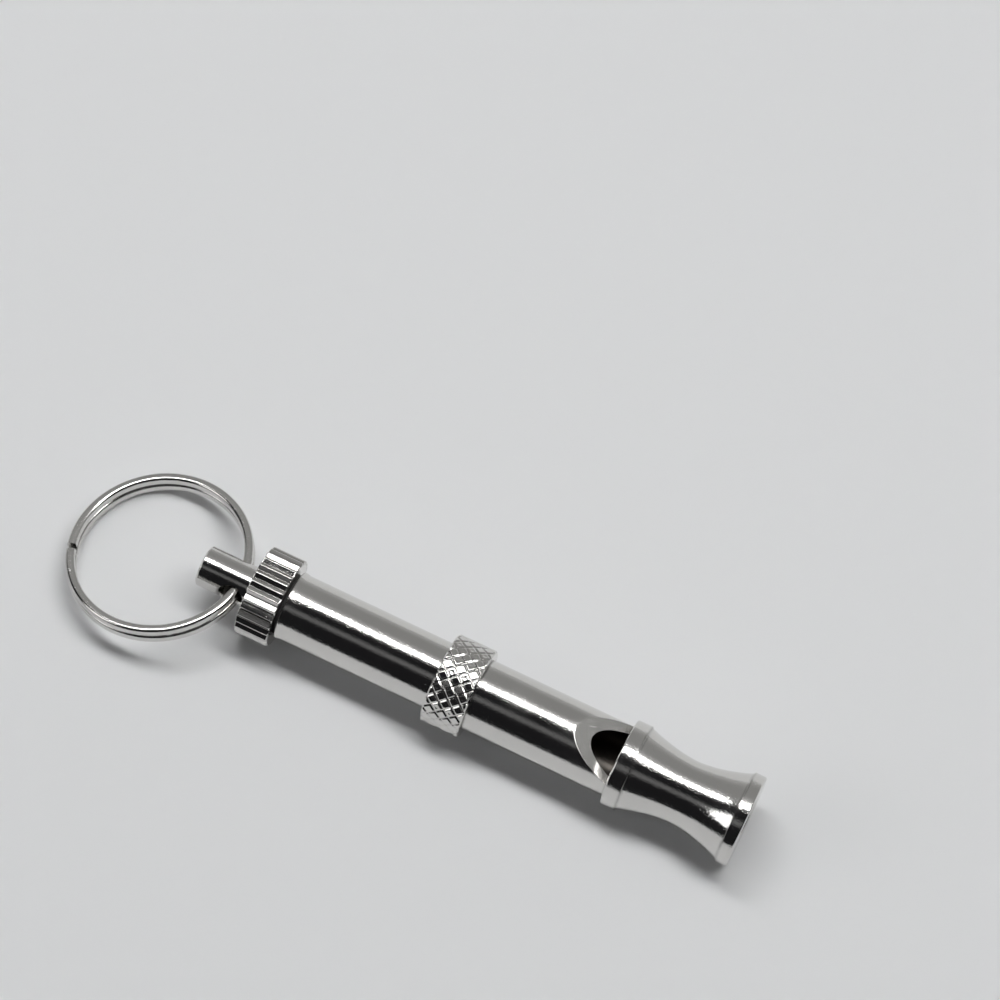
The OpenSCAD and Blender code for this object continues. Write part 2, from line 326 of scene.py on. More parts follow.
print("dirt stays within", SEAM_REACH, "mm of a seam")

# %% [markdown]
# Turning a piece on the lathe
#
# Every piece but the ring was turned on a lathe, so each is an outline of places along X and radii, turned
# about X. A Screw modifier could do this, but a loop also lets a function cut the radius back at each angle,
# which is how the ribs of the nut and the thread of the screw are made. Real edges are never sharp: a
# corner that is written with a third number gets a fillet of that radius, and the fillet catches light.

# %% Outline and lathe
TURN_STEPS = 144
FILLET_STEPS = 4
ROUND = [2 * math.pi * i / TURN_STEPS for i in range(TURN_STEPS)]
WELD = 1e-4 * MM


def softened(corners):
    """Closed outline of (x, radius) points; a corner (x, radius, fillet) is rounded."""
    outline = []
    for i, (x, r, *fillet) in enumerate(corners):
        here = Vector((x, r))
        if not fillet:
            outline.append(here)
            continue
        back = (Vector(corners[i - 1][:2]) - here).normalized()
        ahead = (Vector(corners[(i + 1) % len(corners)][:2]) - here).normalized()
        half = back.angle(ahead) / 2
        centre = here + (back + ahead).normalized() * (fillet[0] / math.sin(half))
        first = here + back * (fillet[0] / math.tan(half)) - centre
        last = here + ahead * (fillet[0] / math.tan(half)) - centre
        for step in range(FILLET_STEPS + 1):
            outline.append(centre + first.lerp(last, step / FILLET_STEPS).normalized() * fillet[0])
    return outline


def on_lathe(x, r, angle):
    """Point in metres, with the angle counted from the far side upwards."""
    return x * MM, r * math.cos(angle) * MM, r * math.sin(angle) * MM


def turned(outline, angles=ROUND, limit=None):
    """Mesh of a closed outline turned about X; limit(x, angle) may cut the radius back."""
    mesh = bmesh.new()
    loops = []
    for angle in angles:
        loop = []
        for x, r in outline:
            r = min(r, limit(x, angle)) if limit else r
            loop.append(mesh.verts.new(on_lathe(x, r, angle)))
        loops.append(loop)
    for one, two in zip(loops, loops[1:] + loops[:1]):
        for i in range(len(outline)):
            mesh.faces.new((one[i - 1], one[i], two[i], two[i - 1]))
    bmesh.ops.remove_doubles(mesh, verts=mesh.verts, dist=WELD)
    bmesh.ops.recalc_face_normals(mesh, faces=mesh.faces)
    return mesh


print("the lathe takes", TURN_STEPS, "steps a turn")

# %% [markdown]
# From mesh to piece
#
# A skin has to follow the CAD solid it stands for, so it rides on that solid's body, hides the solid and
# takes its finish. Smooth shading alone would bend the light across flat faces next to a fillet.
# Weighted normals let the large faces decide, which keeps flats flat and fillets round.

# %% Cutters
BROKEN_EDGE_ANGLE = math.radians(12)


def solid(mesh, name):
    """Object in the scene with the given mesh."""
    data = bpy.data.meshes.new(name)
    mesh.to_mesh(data)
    mesh.free()
    made = bpy.data.objects.new(name, data)
    bpy.context.collection.objects.link(made)
    return made


def applied(target):
    """Replaces an object's mesh by what its modifiers make of it."""
    bpy.context.view_layer.update()
    shaped = target.evaluated_get(bpy.context.evaluated_depsgraph_get())
    target.data = bpy.data.meshes.new_from_object(shaped)
    target.modifiers.clear()


def carved(target, cutter):
    """Cuts one object out of another and removes the cutter."""
    cut = target.modifiers.new("cut", "BOOLEAN")
    cut.object = cutter
    cut.operation = "DIFFERENCE"
    cut.solver = "EXACT"
    applied(target)
    bpy.data.objects.remove(cutter)


def edges_broken(target, width):
    """Takes the sharpness off the edges that a cutter left."""
    bevel = target.modifiers.new("broken_edges", "BEVEL")
    bevel.width = width * MM
    bevel.segments = 2
    bevel.limit_method = "ANGLE"
    bevel.angle_limit = BROKEN_EDGE_ANGLE
    applied(target)


def prism(outline, half_width):
    """Cutter: an outline of (x, z) points, as wide as needed along Y."""
    mesh = bmesh.new()
    ends = []
    for y in (-half_width, half_width):
        ends.append([mesh.verts.new((x * MM, y * MM, z * MM)) for x, z in outline])
    for i in range(len(outline)):
        mesh.faces.new((ends[0][i - 1], ends[0][i], ends[1][i], ends[1][i - 1]))
    for end in ends:
        mesh.faces.new(end)
    bmesh.ops.recalc_face_normals(mesh, faces=mesh.faces)
    return solid(mesh, "cutter")


print("edges of more than", round(math.degrees(BROKEN_EDGE_ANGLE)), "degrees can be broken")

# %% Skins
SHARP_ANGLE = math.radians(38)


def dressed(skin, node, finish):
    """Makes an object the skin of a CAD node, in a finish of a material slot."""
    skin.name = node + "_skin"
    skin.data.polygons.foreach_set("use_smooth", [True] * len(skin.data.polygons))
    skin.data.set_sharp_from_angle(angle=SHARP_ANGLE)
    weights = skin.modifiers.new("even_normals", "WEIGHTED_NORMAL")
    weights.keep_sharp = True
    skin.data.materials.clear()
    skin.data.materials.append(finish)
    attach(skin, BODY_OF[node])
    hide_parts(node)
    print(skin.name, "has", len(skin.data.polygons), "faces and rides on", BODY_OF[node])


print("skins to make:", len(BODY_OF))

# %% [markdown]
# Mouthpiece
#
# A spool of brass: two straight rims with a long waist between them, and a bore to blow into. The waist is
# not an arc. It rises slowly from its narrowest place and faster towards each rim, so it is drawn as a power
# of the distance, on both sides of the narrowest place. A sharp little step parts the waist from each rim.

# %% Mouthpiece
REAR_RIM_R = 6.1
REAR_LAND_L = 2.2
REAR_EDGE = 0.22
FRONT_LAND_L = 1.7
FRONT_EDGE = 0.25
LIP_EDGE = 0.45
WAIST_R = 4.5
WAIST_X = -9.1
WAIST_POWER = 1.68
WAIST_STEPS = 28
RIM_STEP = 0.2
RIM_STEP_EDGE = 0.07
MOUTH_BORE_R = 3.5
x_mouth_rear, x_mouth, front_rim_r = span("mouthpiece")
_, x_socket, plug_r = span("fipple_plug")
front_tube_r = span("front_tube")[2]


def waist_side(x_rim, r_rim):
    """Points of the waist from its narrowest place to a rim."""
    for i in range(WAIST_STEPS + 1):
        u = i / WAIST_STEPS
        yield WAIST_X + (x_rim - WAIST_X) * u, WAIST_R + (r_rim - WAIST_R) * u**WAIST_POWER


x_rear_land = x_mouth_rear + REAR_LAND_L
x_front_land = x_mouth - FRONT_LAND_L
rear_side = list(waist_side(x_rear_land, REAR_RIM_R - RIM_STEP))
front_side = list(waist_side(x_front_land, front_rim_r - RIM_STEP))
mouth_corners = [
    (x_mouth_rear, front_tube_r),
    (x_mouth_rear, REAR_RIM_R, REAR_EDGE),
    (x_rear_land, REAR_RIM_R, RIM_STEP_EDGE),
    *reversed(rear_side),
    *front_side[1:],
    (x_front_land, front_rim_r, RIM_STEP_EDGE),
    (x_mouth, front_rim_r, FRONT_EDGE),
    (x_mouth, MOUTH_BORE_R, LIP_EDGE),
    (x_socket, MOUTH_BORE_R),
    (x_socket, front_tube_r),
]
# Dirt and painted shade beside the steps at both rims.
turned_plate = plated("turned_plate", "plated_brass", LATHE_LINES, beside(x_rear_land, x_front_land))
mouthpiece = solid(turned(softened(mouth_corners)), "mouthpiece")
dressed(mouthpiece, "mouthpiece", turned_plate)

# %% [markdown]
# Tubes and the sound window
#
# Two drawn tubes meet inside the collar. Near the mouthpiece a slanted flat is filed through the upper wall
# of the front tube: it leaves a pale flat face round a dark opening, which makes the sound. The cut is a
# wedge taken out of the turned tube, exactly as a file would do it, and its edges are then broken a little.
# Building the opening point by point would give the same edge with far more code. The file also took the
# peel away, so the flat is smoother than the tube.

# %% Front tube
TUBE_BORE_R = 4.0
SPIGOT_R = 4.65
WINDOW_L = 6.75
WINDOW_SLOPE = math.tan(math.radians(22.8))
WINDOW_EDGE = 0.05
FLAT_REACH = 0.03
FLAT_CALM = 0.85
x_collar_rear, x_collar_front, collar_r = span("knurled_collar")
x_tubes_meet = span("front_tube")[0]
x_apex = x_mouth_rear - WINDOW_L
above = 2 * front_tube_r


def tube(x_free, x_shoulder, radius):
    """Tube from its free end to the middle of the collar, with a spigot inside the collar."""
    return turned([
        (x_free, TUBE_BORE_R),
        (x_free, radius),
        (x_shoulder, radius),
        (x_shoulder, SPIGOT_R),
        (x_tubes_meet, SPIGOT_R),
        (x_tubes_meet, TUBE_BORE_R),
    ])


def on_flat(place):
    """How much calmer the plate is on the flat of the window, and nothing away from it."""
    parts = place.node("SeparateXYZ", None, {0: place})
    over_flat = parts.other("Z") - front_tube_r + (parts - x_apex) * WINDOW_SLOPE
    return (1 - abs(over_flat) / FLAT_REACH).held() * FLAT_CALM


wedge = [
    (x_apex, front_tube_r),
    (x_mouth_rear, front_tube_r - WINDOW_L * WINDOW_SLOPE),
    (x_mouth_rear, above),
    (x_apex, above),
]
front_tube = solid(tube(x_socket, x_collar_front, front_tube_r), "front_tube")
carved(front_tube, prism(wedge, above))
edges_broken(front_tube, WINDOW_EDGE)
# Dirt and painted shade at the seams, and painted shade on the wall of the bore.
front_dirt_and_shade = with_painted_bore_shade(TUBE_BORE_R, beside(x_mouth_rear, x_collar_front))
front_plate = plated("front_plate", "plated_brass", DRAWN_LINES, front_dirt_and_shade, calm=on_flat)
dressed(front_tube, "front_tube", front_plate)

# %% Rear tube
x_flange_front, _, rear_tube_r = span("rear_tube")
rear_tube = solid(tube(x_flange_front, x_collar_rear, rear_tube_r), "rear_tube")
# Dirt and painted shade at the seam, and painted shade on the wall of the bore.
rear_dirt_and_shade = with_painted_bore_shade(TUBE_BORE_R, beside(x_collar_rear))
rear_plate = plated("rear_plate", "plated_brass", DRAWN_LINES, rear_dirt_and_shade)
dressed(rear_tube, "rear_tube", rear_plate)

# %% [markdown]
# Bare brass and the fipple plug
#
# A brass block fills the front end of the tube, so that air can only pass through the slit over its flat
# top and strike the edge of the window. It is seen by looking into the mouth. It is a turned cylinder with
# the top cut away by a wedge that rises from the mouth side. Inside the whistle brass is left bare, so it
# shows the rings of the tool, a brown tarnish and dark spots. One flat yellow would look like paint.

# %% Bare brass
TARNISH_SHARES = (0.55, 0.45, 0.35)
TOOL_RING_WAVES = 7
TOOL_RING_HEIGHT = 0.004
TOOL_RING_DULL = 0.1
STAIN_DARK = 0.5
STAIN_DULL = 0.14
SPOT_DARK = 0.4
SPOT_DEPTH = 0.004
BRASS_GLOSS = 0.26


def bare_brass():
    """Turned brass that was never plated: tool rings, a brown tarnish and small dark spots."""
    material, place, shader = new_finish("turned_brass")
    tone = TONE_OF["bare_brass"]
    tarnish = tuple(part * share for part, share in zip(tone, TARNISH_SHARES)) + (1,)
    from_axis = radius_of(place)
    one_way = {"noise_dimensions": "1D"}
    rings = from_axis.node("TexNoise", one_way, {"W": from_axis, "Scale": TOOL_RING_WAVES})
    stains = place.patches(waves=0.45, detail=4.0, level=0.45, gain=4)
    spots = place.patches(waves=2.5, detail=1.0, level=0.68, gain=12)
    link((stains * STAIN_DARK + spots * SPOT_DARK).held().tint(tone, tarnish), shader, "Base Color")
    link(BRASS_GLOSS + stains * STAIN_DULL + rings * TOOL_RING_DULL, shader, "Roughness")
    emboss(rings * TOOL_RING_HEIGHT - spots * SPOT_DEPTH, shader)
    shader.inputs["Metallic"].default_value = 1
    print("turned_brass made with", len(material.node_tree.nodes), "nodes")
    return material


brass = bare_brass()

# %% Fipple plug
WINDWAY_H = 1.1
PLUG_LEAD_L = 1.6
PLUG_LEAD_H = 1.0
PLUG_ROUND = 0.1
PLUG_CUT_EDGE = 0.06
PLUG_OVERCUT = 1
plug_top = plug_r - WINDWAY_H
plug = solid(turned(softened([
    (x_mouth_rear, 0),
    (x_mouth_rear, plug_r, PLUG_ROUND),
    (x_socket, plug_r, PLUG_ROUND),
    (x_socket, 0),
])), "plug")
airway = [
    (x_mouth_rear - PLUG_OVERCUT, plug_top),
    (x_socket - PLUG_LEAD_L, plug_top),
    (x_socket + PLUG_LEAD_L, plug_top - 2 * PLUG_LEAD_H),
    (x_socket + PLUG_LEAD_L, 2 * plug_r),
    (x_mouth_rear - PLUG_OVERCUT, 2 * plug_r),
]
carved(plug, prism(airway, 2 * plug_r))
edges_broken(plug, PLUG_CUT_EDGE)
dressed(plug, "fipple_plug", brass)

# %% [markdown]
# Knurled collar
#
# The collar that joins the tubes has low diamonds between crossed grooves, rolled in at 45 degrees. The
# rolling pushes metal up beside the grooves, so each diamond is a little hollow in its middle and shows a
# small round picture of the lamps. A bump map would give the sheen but leave the outline round. A grid laid
# square to the axis would need very small cells to keep the slanted grooves straight. So the grid is laid
# along the grooves: each cell of a slanted lattice is one diamond, and a few lines across it give the
# groove, its wall and the hollow top. The band is laid a little too wide and then trimmed, so the diamonds
# run out at the edges as real ones do.

# %% One diamond
DIAMONDS_AROUND = 22
DIAMOND_HALF_STEPS = 6
DIAMOND_GROOVE = 0.15
HOLLOW_DEPTH = 0.028
HOLLOW_EDGE = 0.64
GROOVE_SECTION = [(1.0, 0.0), (0.96, 0.05), (0.72, 0.93), (0.66, 1.0)]
TOP_SHARES = [0.52, 0.39, 0.26, 0.13, 0.0]
crest = dict(GROOVE_SECTION) | {share: 1.0 for share in TOP_SHARES}
stations = sorted({side * share for share in crest for side in (-1, 1)})


def diamond(mesh, around, along):
    """One diamond of the lattice, counted in half steps round and along the collar."""
    half_turn = math.pi / DIAMONDS_AROUND
    half_step = (x_collar_front - x_collar_rear) / DIAMOND_HALF_STEPS
    grid = []
    for s in stations:
        line = []
        for t in stations:
            angle = (around + (s + t) / 2) * half_turn
            x = x_collar_rear + (along + (s - t) / 2) * half_step
            hollow = max(0, 1 - (s * s + t * t) / HOLLOW_EDGE**2) ** 2
            groove = 1 - min(crest[abs(s)], crest[abs(t)])
            r = collar_r - DIAMOND_GROOVE * groove - HOLLOW_DEPTH * hollow
            line.append(mesh.verts.new(on_lathe(x, r, angle)))
        grid.append(line)
    for one, two in zip(grid, grid[1:]):
        for i in range(1, len(stations)):
            mesh.faces.new((one[i - 1], one[i], two[i], two[i - 1]))


print("a diamond has", (len(stations) - 1) ** 2, "faces")

# %% The band of diamonds
BORE_WELD = 10 * WELD
COLLAR_CHAMFER = 0.22
# Strength of the dirt and painted shade in the knurl's grooves.
COLLAR_DIRT_AND_SHADE = 0.25


def trimmed(mesh, x, clear):
    """Cuts a mesh by a plane across X; clear is -1 or 1 for the side to drop, or 0 to keep both."""
    everything = [*mesh.verts, *mesh.edges, *mesh.faces]
    bmesh.ops.bisect_plane(mesh, geom=everything, dist=WELD,
                           plane_co=(x * MM, 0, 0), plane_no=(1, 0, 0),
                           clear_inner=clear < 0, clear_outer=clear > 0)


def ring_from(mesh, edges, radius=None, x=None):
    """Pulls boundary edges to a new radius or a new place along X, and returns the new edges."""
    pulled = bmesh.ops.extrude_edge_only(mesh, edges=edges)["geom"]
    for vert in (part for part in pulled if isinstance(part, bmesh.types.BMVert)):
        if radius is not None:
            vert.co.yz = vert.co.yz.normalized() * radius * MM
        if x is not None:
            vert.co.x = x * MM
    return [part for part in pulled if isinstance(part, bmesh.types.BMEdge) and part.is_boundary]


def diamond_band():
    """Closed mesh of the collar: a trimmed band of diamonds with chamfered ends and a bore."""
    mesh = bmesh.new()
    for along in range(DIAMOND_HALF_STEPS + 1):
        for i in range(DIAMONDS_AROUND):
            diamond(mesh, 2 * i + along % 2, along)
    bmesh.ops.remove_doubles(mesh, verts=mesh.verts, dist=WELD)
    trimmed(mesh, x_collar_rear, -1)
    trimmed(mesh, x_collar_front, 1)
    trimmed(mesh, x_collar_rear + COLLAR_CHAMFER, 0)
    trimmed(mesh, x_collar_front - COLLAR_CHAMFER, 0)
    for vert in mesh.verts:
        inset = min(vert.co.x / MM - x_collar_rear, x_collar_front - vert.co.x / MM)
        most = (collar_r - max(0, COLLAR_CHAMFER - inset)) * MM
        vert.co.yz = vert.co.yz * min(1, most / vert.co.yz.length)
    rims = [edge for edge in mesh.edges if edge.is_boundary]
    bores = ring_from(mesh, rims, radius=SPIGOT_R)
    middle = (x_collar_rear + x_collar_front) / 2 * MM
    rear_bore = [edge for edge in bores if edge.verts[0].co.x < middle]
    ring_from(mesh, rear_bore, x=x_collar_front)
    bmesh.ops.remove_doubles(mesh, verts=mesh.verts, dist=BORE_WELD)
    bmesh.ops.recalc_face_normals(mesh, faces=mesh.faces)
    return mesh


knurl_dirt_and_shade = below(collar_r, DIAMOND_GROOVE, COLLAR_DIRT_AND_SHADE)
knurl_plate = plated("knurl_plate", "plated_brass", LINES_EVERY_WAY, knurl_dirt_and_shade, gloss=0.09)
dressed(solid(diamond_band(), "collar"), "knurled_collar", knurl_plate)

# %% [markdown]
# End bush
#
# The bush closes the rear tube and carries the thread of the screw. Only its flange is seen, a thin bright
# edge at the end of the tube, so the flange blends into the tube by a wide fillet and the rest stays plain.

# %% End bush
THREAD_CLEAR_R = 2.54
BUSH_BORE_EDGE = 0.15
BUSH_FRONT_EDGE = 0.2
FLANGE_EDGE = 0.12
FLANGE_FACE_ROUND = 0.04
FLANGE_SIDE_ROUND = 0.06
FLANGE_BLEND = 0.5
FLANGE_BLEND_ROUND = 1.0
x_flange_rear, x_bush_front, flange_r = span("end_bush")
bush = solid(turned(softened([
    (x_flange_rear, THREAD_CLEAR_R, BUSH_BORE_EDGE),
    (x_flange_rear, flange_r - FLANGE_EDGE, FLANGE_FACE_ROUND),
    (x_flange_rear + FLANGE_EDGE, flange_r, FLANGE_SIDE_ROUND),
    (x_flange_front - FLANGE_BLEND, flange_r, FLANGE_BLEND_ROUND),
    (x_flange_front, rear_tube_r),
    (x_flange_front, TUBE_BORE_R),
    (x_bush_front, TUBE_BORE_R, BUSH_FRONT_EDGE),
    (x_bush_front, THREAD_CLEAR_R, BUSH_BORE_EDGE),
])), "bush")
bush_plate = plated("bush_plate", "plated_brass", LATHE_LINES, beside(x_flange_rear))
dressed(bush, "end_bush", bush_plate)

# %% [markdown]
# Fibre washer
#
# The thin dark line between the bush and the nut is a washer of pressed fibre. It could be plain black, but
# when the nut is loosened its face shows, so fine pale threads are laid into it by two stretched noises.

# %% Fibre washer
THREAD_WAVES = 5.0
THREADS_ACROSS = (1, 0.3, 1)
THREADS_UPRIGHT = (1, 1, 0.3)
THREAD_TONE = (0.11, 0.09, 0.08, 1)
THREAD_CONTRAST = 3
THREAD_SHOWS = 0.4
THREAD_HEIGHT = 0.012
FIBRE_DULL = 0.75
THREAD_DULL = 0.15
WASHER_EDGE = 0.07


def fibre():
    """Pressed fibre: nearly black, matt, with fine pale threads that lie every way."""
    material, place, shader = new_finish("pressed_fibre")
    across = place.noise(THREAD_WAVES, detail=4.0, stretch=THREADS_ACROSS)
    upright = place.noise(THREAD_WAVES, detail=4.0, stretch=THREADS_UPRIGHT)
    pale = ((across + upright - 1) * THREAD_CONTRAST).held()
    link((pale * THREAD_SHOWS).tint(TONE_OF["washer_fibre"], THREAD_TONE), shader, "Base Color")
    link(FIBRE_DULL + pale * THREAD_DULL, shader, "Roughness")
    emboss(pale * THREAD_HEIGHT, shader)
    return material


x_washer_rear, x_washer_front, washer_r = span("lock_washer")
washer = solid(turned(softened([
    (x_washer_rear, THREAD_CLEAR_R),
    (x_washer_rear, washer_r, WASHER_EDGE),
    (x_washer_front, washer_r, WASHER_EDGE),
    (x_washer_front, THREAD_CLEAR_R),
])), "washer")
dressed(washer, "lock_washer", fibre())

# %% [markdown]
# Lock nut
#
# The nut has straight ribs for the fingers: sharp ridges with plain sides, each of which shows one side of
# the room, and dirt and painted shade darken the floor of each groove, so the nut looks striped. An array of
# rib meshes would have to be joined to a core. Here the ribs are cut while turning, by a limit on the radius
# that depends on the angle, so the chamfers at both ends cut across them by themselves.

# %% Lock nut
NUT_RIBS = 30
NUT_GROOVE = 0.38
# Strength of the dirt and painted shade in the grooves between the ribs.
NUT_DIRT_AND_SHADE = 0.8
NUT_EDGE = 0.12
NUT_ROUND = 0.04
NUT_BORE_EDGE = 0.2
COUNTERBORE_R = 3.0
COUNTERBORE_L = 1.4
COUNTERBORE_EDGE = 0.15
RIB_SECTION = [(0.0, 0.0), (0.03, 0.02), (0.44, 0.96), (0.48, 1.0)]
x_nut_rear, x_nut_front, nut_r = span("lock_nut")
rib_shares = [share for share, _ in RIB_SECTION]
rib_shares += [1 - share for share in reversed(rib_shares[1:])]
nut_angles = [2 * math.pi * (rib + share) / NUT_RIBS for rib in range(NUT_RIBS) for share in rib_shares]


def rib_limit(x, angle):
    """Radius of the ribbed outline: it falls into a groove at each whole rib."""
    share = angle / (2 * math.pi) * NUT_RIBS % 1
    share = min(share, 1 - share)
    height = 1.0
    for (a, low), (b, high) in zip(RIB_SECTION, RIB_SECTION[1:]):
        if a <= share <= b:
            height = low + (high - low) * (share - a) / (b - a)
    return nut_r - NUT_GROOVE * (1 - height)


nut_corners = [
    (x_nut_front, THREAD_CLEAR_R, NUT_BORE_EDGE),
    (x_nut_front, nut_r - NUT_EDGE, NUT_ROUND),
    (x_nut_front - NUT_EDGE, nut_r, NUT_ROUND),
    (x_nut_rear + NUT_EDGE, nut_r, NUT_ROUND),
    (x_nut_rear, nut_r - NUT_EDGE, NUT_ROUND),
    (x_nut_rear, COUNTERBORE_R, COUNTERBORE_EDGE),
    (x_nut_rear + COUNTERBORE_L, COUNTERBORE_R),
    (x_nut_rear + COUNTERBORE_L, THREAD_CLEAR_R),
]
nut = solid(turned(softened(nut_corners), nut_angles, rib_limit), "nut")
rib_dirt_and_shade = below(nut_r, NUT_GROOVE, NUT_DIRT_AND_SHADE)
rib_plate = plated("rib_plate", "plated_brass", LINES_EVERY_WAY, rib_dirt_and_shade, gloss=0.08)
dressed(nut, "lock_nut", rib_plate)

# %% [markdown]
# Tuning screw
#
# One turned piece: the plain stem that is seen, a threaded rod inside the tube, and a headed tip that
# carries the piston. When the screw is drawn out the thread shows, so it is a real helix: the radius follows
# the distance along the pitch less the share of a turn. The cross hole for the ring lies along the ring's
# own hinge. A plain drill would leave a sharp edge, and a cone would only reach the hole's sides, because
# the stem is round. So the cutter's radius grows with its height in the stem's skin, which rolls the rim all
# round.

# %% Turned screw
THREAD_R = 2.5
THREAD_DEPTH = 0.42
THREAD_PITCH = 0.8
THREAD_POINTS = 6
THREAD_STOP = 0.01
SCREW_ROUND = ROUND[::2]
SHOULDER_GAP = 0.75
SHOULDER_EDGE = 0.15
ROD_CLEARANCE = 0.05
TIP_R = 1.5
TIP_HEAD_R = 2.2
TIP_HEAD_T = 0.9
TIP_EDGE = 0.15
STEM_CHAMFER = 0.25
STEM_ROUND = 0.1
x_piston_rear, x_piston_front, piston_r = span("piston")
x_stem_end, x_tip, stem_r = span("tuning_screw")
x_shoulder = x_nut_rear + COUNTERBORE_L - SHOULDER_GAP
x_rod_front = x_piston_rear - ROD_CLEARANCE
rod_l = x_rod_front - x_shoulder
rod_steps = round(rod_l / THREAD_PITCH * THREAD_POINTS)
rod = [(x_shoulder + rod_l * i / rod_steps, THREAD_R) for i in range(rod_steps + 1)]


def thread_limit(x, angle):
    """Radius of the right handed thread, which stops just short of both ends of the rod."""
    if not x_shoulder + THREAD_STOP < x < x_rod_front - THREAD_STOP:
        return stem_r
    turn = (x / THREAD_PITCH - angle / (2 * math.pi)) % 1
    return THREAD_R - THREAD_DEPTH * abs(2 * turn - 1)


screw_corners = [
    (x_stem_end, 0),
    (x_stem_end, stem_r - STEM_CHAMFER, STEM_ROUND),
    (x_stem_end + STEM_CHAMFER, stem_r, STEM_ROUND),
    (x_shoulder, stem_r, SHOULDER_EDGE),
    *rod,
    (x_rod_front, TIP_R),
    (x_tip - TIP_HEAD_T, TIP_R),
    (x_tip - TIP_HEAD_T, TIP_HEAD_R),
    (x_tip, TIP_HEAD_R, TIP_EDGE),
    (x_tip, 0),
]
screw = solid(turned(softened(screw_corners), SCREW_ROUND, thread_limit), "screw")
print("the rod has", round(rod_l / THREAD_PITCH, 1), "turns of thread")

# %% Cross hole
HOLE_R = 1.8
HOLE_RIM = 0.45
HOLE_STEPS = 60
hinge_place = Vector(JOINT["ring_swing"]["pos_m"])
hinge_axis = Vector(JOINT["ring_swing"]["axis"])
hinge_roll = Matrix.Rotation(math.atan2(hinge_axis.z, hinge_axis.y), 4, "X")
hinge_frame = Matrix.Translation(hinge_place) @ hinge_roll


def hole_limit(x, angle):
    """Radius of the cross hole, which widens in the outermost skin of the stem."""
    from_axis = math.hypot(x, HOLE_R * math.sin(angle))
    lift = max(0, from_axis - stem_r + HOLE_RIM)
    return HOLE_R + lift * lift / HOLE_RIM


hole_half = stem_r + HOLE_RIM
hole_side = [(hole_half * (2 * i / HOLE_STEPS - 1), stem_r) for i in range(HOLE_STEPS + 1)]
hole_outline = [(-hole_half, 0), *hole_side, (hole_half, 0)]
hole_cutter = solid(turned(hole_outline, limit=hole_limit), "cutter")
hole_cutter.matrix_world = hinge_frame @ Matrix.Rotation(math.pi / 2, 4, "Z")
carved(screw, hole_cutter)
screw_plate = plated("screw_plate", "plated_brass", LATHE_LINES, beside(x_shoulder))
dressed(screw, "tuning_screw", screw_plate)

# %% [markdown]
# Piston and its seal
#
# Inside the rear tube a brass piston with a rubber ring closes the air column and sets the note. Both are
# hidden at rest, but a cut-away or a part taken from the library would show them, so they are turned like
# the rest. The ring is a circle turned about the axis, and its rubber is matt with smears of grease.

# %% Piston
TIP_BORE_R = 1.54
HEAD_BORE_R = 2.24
HEAD_BORE_EDGE = 0.12
PISTON_EDGE = 0.25
SEAL_GROOVE_R = 2.92
SEAL_HALF_GROOVE = 0.55
SEAL_GROOVE_EDGE = 0.08
SEAL_GROOVE_ROUND = 0.15
x_seal = (x_piston_rear + x_piston_front) / 2
x_seat = x_piston_front - 2 * TIP_HEAD_T
piston = solid(turned(softened([
    (x_piston_rear, TIP_BORE_R),
    (x_piston_rear, piston_r, PISTON_EDGE),
    (x_seal - SEAL_HALF_GROOVE, piston_r, SEAL_GROOVE_EDGE),
    (x_seal - SEAL_HALF_GROOVE, SEAL_GROOVE_R, SEAL_GROOVE_ROUND),
    (x_seal + SEAL_HALF_GROOVE, SEAL_GROOVE_R, SEAL_GROOVE_ROUND),
    (x_seal + SEAL_HALF_GROOVE, piston_r, SEAL_GROOVE_EDGE),
    (x_piston_front, piston_r, PISTON_EDGE),
    (x_piston_front, HEAD_BORE_R, HEAD_BORE_EDGE),
    (x_seat, HEAD_BORE_R),
    (x_seat, TIP_BORE_R),
])), "piston")
dressed(piston, "piston", brass)

# %% Rubber seal
SEAL_R = 0.5
SEAL_STEPS = 24
SMEAR_TONE = (0.055, 0.052, 0.05, 1)
SMEAR_SHOWS = 0.5
SMEAR_GLOSS = 0.25
RUBBER_DULL = 0.62
RUBBER_WAVES = 4.0
RUBBER_HEIGHT = 0.008


def rubber():
    """Greased black rubber: matt, with a few glossier smears."""
    material, place, shader = new_finish("seal_rubber")
    smear = place.patches(waves=0.8, detail=3.0, level=0.5, gain=5)
    link((smear * SMEAR_SHOWS).tint(TONE_OF["seal_rubber"], SMEAR_TONE), shader, "Base Color")
    link(RUBBER_DULL - smear * SMEAR_GLOSS, shader, "Roughness")
    emboss(place.noise(RUBBER_WAVES, detail=3.0) * RUBBER_HEIGHT, shader)
    return material


seal_middle_r = span("piston_seal")[2] - SEAL_R
seal_section = []
for i in range(SEAL_STEPS):
    a = 2 * math.pi * i / SEAL_STEPS
    seal_section.append((x_seal + SEAL_R * math.cos(a), seal_middle_r + SEAL_R * math.sin(a)))
seal = solid(turned(seal_section), "seal")
dressed(seal, "piston_seal", rubber())

# %% [markdown]
# Split ring
#
# One length of flattened steel wire, wound almost twice round. Where it steps up from the lower turn to the
# upper one, the two free ends stop short, and that leaves the small notch seen on the real ring. A bevelled
# curve would be quicker, but its section would twist at the step. Here the section is a rounded rectangle
# placed at each angle along the coil, so its flat faces stay level all the way round.

# %% Wound wire
RING_OD = 25.36
WIRE_W = 1.25
WIRE_T = 1.38
TURN_PITCH = 1.5
WIRE_CORNER = 0.42
WIRE_CORNER_STEPS = 6
COIL_STEP = 3
CLIMB_STEP = 0.25
STEP_FROM = 194
STEP_TO = 197.5
END_GAP = 0.2
ring_mid_r = (RING_OD - WIRE_W) / 2


